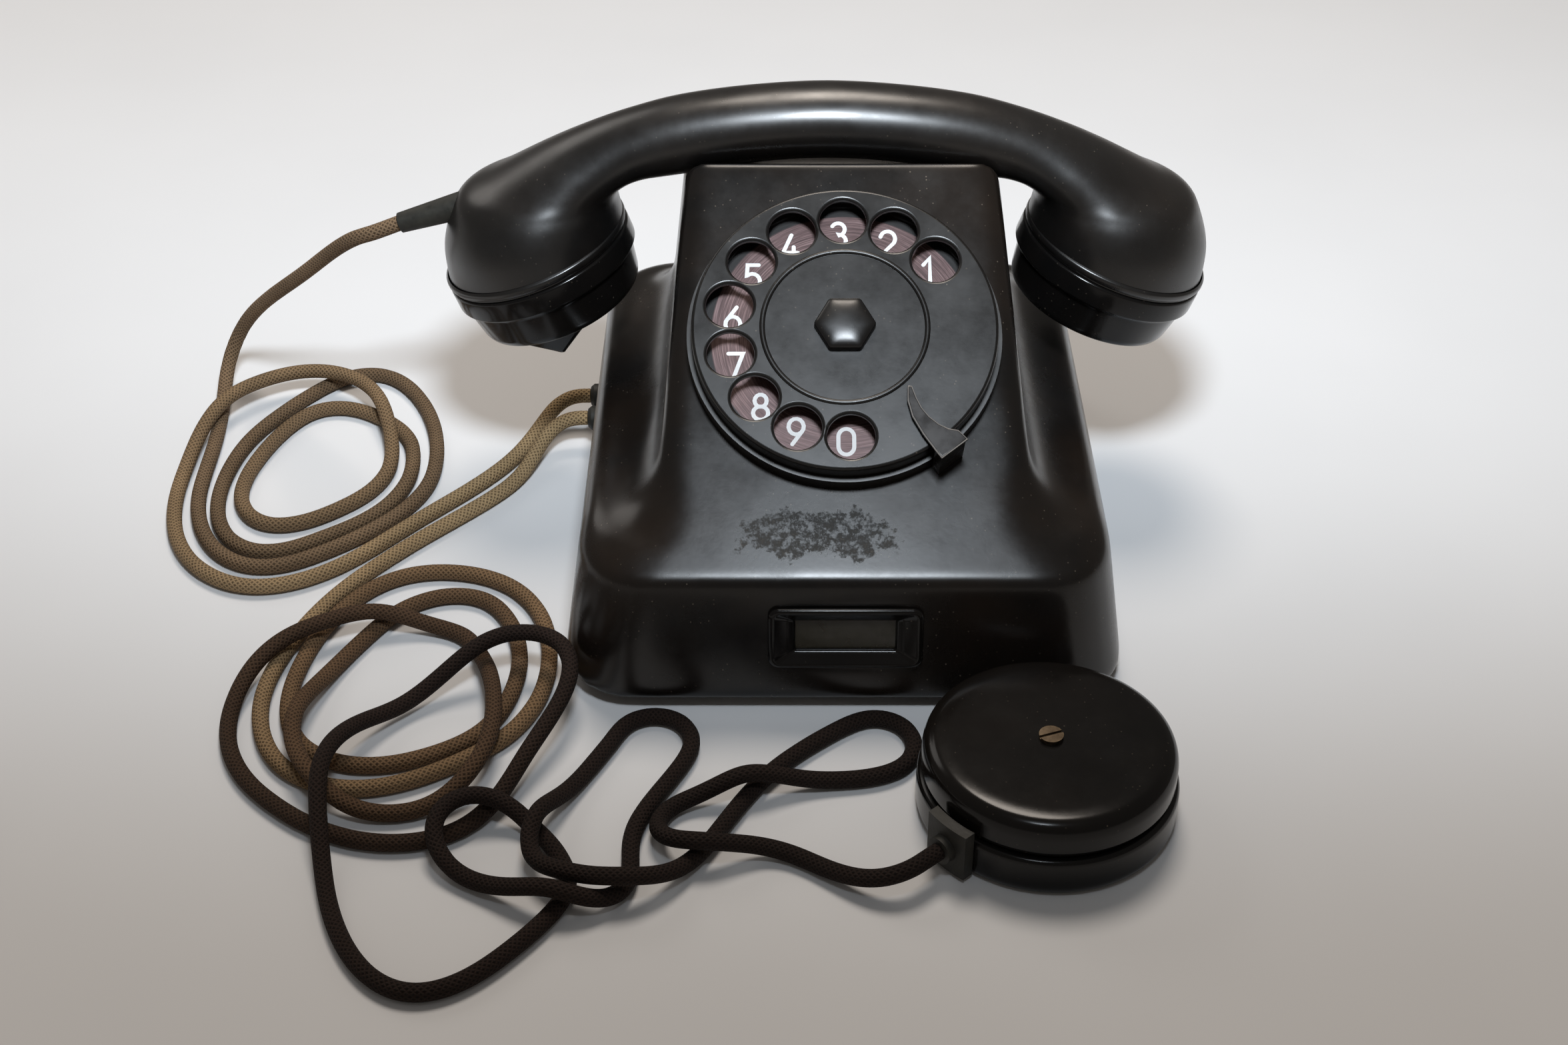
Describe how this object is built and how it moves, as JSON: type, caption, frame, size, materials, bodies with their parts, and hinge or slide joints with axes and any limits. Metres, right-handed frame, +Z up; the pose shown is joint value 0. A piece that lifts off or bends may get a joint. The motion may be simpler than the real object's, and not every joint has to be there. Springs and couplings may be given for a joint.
{
  "type": "rotary desk telephone",
  "caption": "Desk telephone with a sloping rotary dial, a handset across a moulded cradle and a round second receiver on a cloth cord.",
  "frame": {"origin": "middle of the base pad's underside, on the table", "axes": "+Z up, -Y towards the dial and the user, +X to the user's right"},
  "size_m": [0.341, 0.2993, 0.1379],
  "materials": {
    "bakelite": "worn satin black moulding",
    "zinced_steel": "dull plating",
    "bright_steel": "bright",
    "worn_chrome": "blackened, bright on its worn edges",
    "felt": "felt",
    "celluloid": "dull clear sheet",
    "paper": "browned card",
    "dial_plate": "brushed mauve brown with white digits",
    "brass": "dull",
    "fibre": "matt",
    "copper_wire": "varnished winding",
    "gong_metal": "bright",
    "tinned_can": "dull",
    "dark_rubber": "aged",
    "tan_braid": "cloth braid",
    "brown_braid": "cloth braid"
  },
  "bodies": {
    "housing": {"housing_shell": "bakelite", "base_plate": "zinced_steel", "base_pad": "felt", "base_screws": "zinced_steel", "window_frame": "bakelite", "window_pane": "celluloid", "number_card": "paper", "dial_case": "bakelite", "number_plate": "dial_plate", "finger_stop": "worn_chrome", "dial_bridge": "brass", "return_spring": "bright_steel", "pulse_contacts": "brass", "hook_frame": "zinced_steel", "hook_spring": "bright_steel", "hook_contacts": "fibre", "ringer_frame": "zinced_steel", "ringer_coils": "copper_wire", "ringer_cores": "zinced_steel", "gongs": "gong_metal", "gong_screws": "bright_steel", "condenser": "tinned_can", "induction_coil": "copper_wire", "coil_cheeks": "fibre", "terminal_block": "fibre", "terminal_screws": "brass", "cord_clamp": "zinced_steel", "handset_gland": "dark_rubber", "receiver_gland": "dark_rubber", "handset_cord": "tan_braid", "receiver_cord": "brown_braid"},
    "handset": {"handset_shell": "bakelite", "mouthpiece_cap": "bakelite", "earpiece_cap": "bakelite", "transmitter_capsule": "tinned_can", "receiver_capsule": "tinned_can", "capsule_springs": "brass", "cord_sleeve": "dark_rubber"},
    "hook": {"hook_plungers": "bakelite", "hook_yoke": "zinced_steel"},
    "dial": {"finger_wheel": "bakelite", "hex_nut": "bakelite", "dial_shaft": "bright_steel", "main_gear": "brass"},
    "pulse": {"pulse_arbor": "bright_steel", "second_gear": "brass", "pulse_cam": "fibre"},
    "governor": {"governor_arbor": "bright_steel", "governor_weights": "brass"},
    "striker": {"clapper": "bright_steel"},
    "listener": {"listener_cap": "bakelite", "listener_cover": "bakelite", "listener_screw": "brass", "listener_magnet": "bright_steel", "listener_coils": "copper_wire", "listener_diaphragm": "bright_steel", "listener_bush": "dark_rubber"}
  },
  "joints": [
    {"name": "handset_lift", "type": "slide", "parent": "housing", "child": "handset", "axis": [0, 0, 1], "range_m": [0, 0.08]},
    {"name": "hook_rise", "type": "slide", "parent": "housing", "child": "hook", "axis": [0, 0, 1], "range_m": [0, 0.006], "deforming": ["hook_spring"]},
    {"name": "dial_turn", "type": "hinge", "parent": "housing", "child": "dial", "pos_m": [0, -0.0255, 0.0862], "axis": [0, 0.5592, -0.829], "range_deg": [0, 324], "stiffness_Nm_per_rad": 0.01, "springref_deg": -34.38},
    {"name": "pulse_spin", "type": "hinge", "parent": "housing", "child": "pulse", "pos_m": [0.02486, -0.0255, 0.0862], "axis": [0, 0.5592, -0.829], "range_deg": [-1352, 2]},
    {"name": "governor_spin", "type": "hinge", "parent": "housing", "child": "governor", "pos_m": [0.02235, -0.01369, 0.09416], "axis": [0, 0.5592, -0.829], "range_deg": [-2, 2702]},
    {"name": "clapper_swing", "type": "hinge", "parent": "housing", "child": "striker", "pos_m": [0, 0.016, 0.034], "axis": [0, 0, 1], "range_deg": [-3.8, 3.8]},
    {"name": "listener_lift", "type": "slide", "parent": "housing", "child": "listener", "axis": [0, 0, 1], "range_m": [0, 0.06]}
  ],
  "couplings": [
    {"joint": "hook_rise", "follows": "handset_lift", "ratio": 0.075},
    {"joint": "pulse_spin", "follows": "dial_turn", "ratio": -4.1667},
    {"joint": "governor_spin", "follows": "dial_turn", "ratio": 8.3333}
  ]
}
